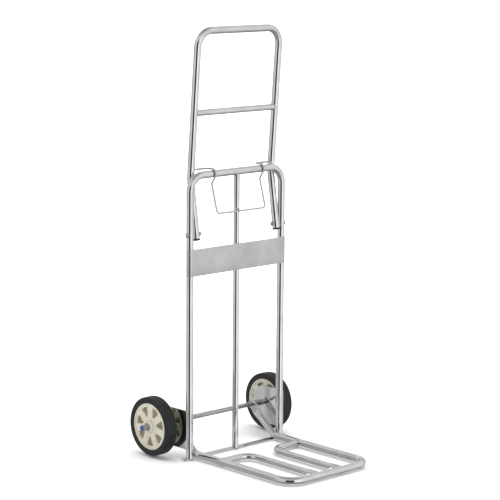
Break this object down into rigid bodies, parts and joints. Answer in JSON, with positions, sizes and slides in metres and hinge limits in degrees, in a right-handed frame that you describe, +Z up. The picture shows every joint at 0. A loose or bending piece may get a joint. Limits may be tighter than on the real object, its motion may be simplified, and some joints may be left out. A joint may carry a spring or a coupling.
{
  "type": "folding hand truck",
  "caption": "Chromed tube hand truck: fold-down handle with wire latch, back plate, hinged tubular toe plate and spoked wheels on a through axle.",
  "frame": {"origin": "on the floor under the middle of the frame, in the plane of the frame tubes, at the underside of the foot strip", "axes": "+X across the truck, -Y towards the load side and the toe plate, +Y towards the axle, +Z up along the frame"},
  "size_m": [0.487, 0.523, 1.0975],
  "materials": {
    "chromed_tube": "bright chrome plating on bent steel tube and flat bar",
    "back_plate_sheet": "satin chromed sheet",
    "bracket_plate": "bright chromed steel plate",
    "plated_steel": "zinc plated steel",
    "latch_wire": "dull plated spring wire",
    "blue_plastic": "moulded blue plastic",
    "black_plastic": "moulded black plastic",
    "hub_plastic": "moulded beige plastic",
    "bush_plastic": "moulded ivory plastic",
    "tyre_rubber": "solid black rubber"
  },
  "bodies": {
    "frame": {"main_frame_tube": "chromed_tube", "centre_tube": "chromed_tube", "foot_strip": "chromed_tube", "back_plate": "back_plate_sheet", "bracket_left": "bracket_plate", "bracket_right": "bracket_plate", "axle_rod": "plated_steel", "strut_spacers": "plated_steel", "wheel_spacers": "plated_steel", "axle_caps": "plated_steel", "cap_inserts": "blue_plastic", "pivot_bolts": "plated_steel", "pivot_nuts": "plated_steel"},
    "handle": {"handle_tube": "chromed_tube", "handle_crossbar": "chromed_tube", "handle_plugs": "black_plastic"},
    "latch": {"latch_wire": "latch_wire"},
    "toe_plate": {"toe_tube": "chromed_tube", "toe_strut_left": "chromed_tube", "toe_strut_right": "chromed_tube", "toe_rail_left": "chromed_tube", "toe_rail_right": "chromed_tube"},
    "wheel_left": {"hub_left": "hub_plastic", "tyre_left": "tyre_rubber", "bush_left": "bush_plastic"},
    "wheel_right": {"hub_right": "hub_plastic", "tyre_right": "tyre_rubber", "bush_right": "bush_plastic"}
  },
  "joints": [
    {"name": "handle_fold", "type": "hinge", "parent": "frame", "child": "handle", "pos_m": [0, 0, 0.581], "axis": [-1, 0, 0], "range_deg": [0, 165], "deforming": ["latch_wire"]},
    {"name": "latch_swing", "type": "hinge", "parent": "handle", "child": "latch", "pos_m": [0, 0.01875, 0.74145], "axis": [-1, 0, 0], "range_deg": [0, 120]},
    {"name": "toe_fold", "type": "hinge", "parent": "frame", "child": "toe_plate", "pos_m": [0, 0.088, 0.081], "axis": [-1, 0, 0], "range_deg": [0, 82]},
    {"name": "wheel_left_spin", "type": "hinge", "parent": "frame", "child": "wheel_left", "pos_m": [-0.2, 0.088, 0.081], "axis": [1, 0, 0], "continuous": true},
    {"name": "wheel_right_spin", "type": "hinge", "parent": "frame", "child": "wheel_right", "pos_m": [0.2, 0.088, 0.081], "axis": [1, 0, 0], "continuous": true}
  ]
}
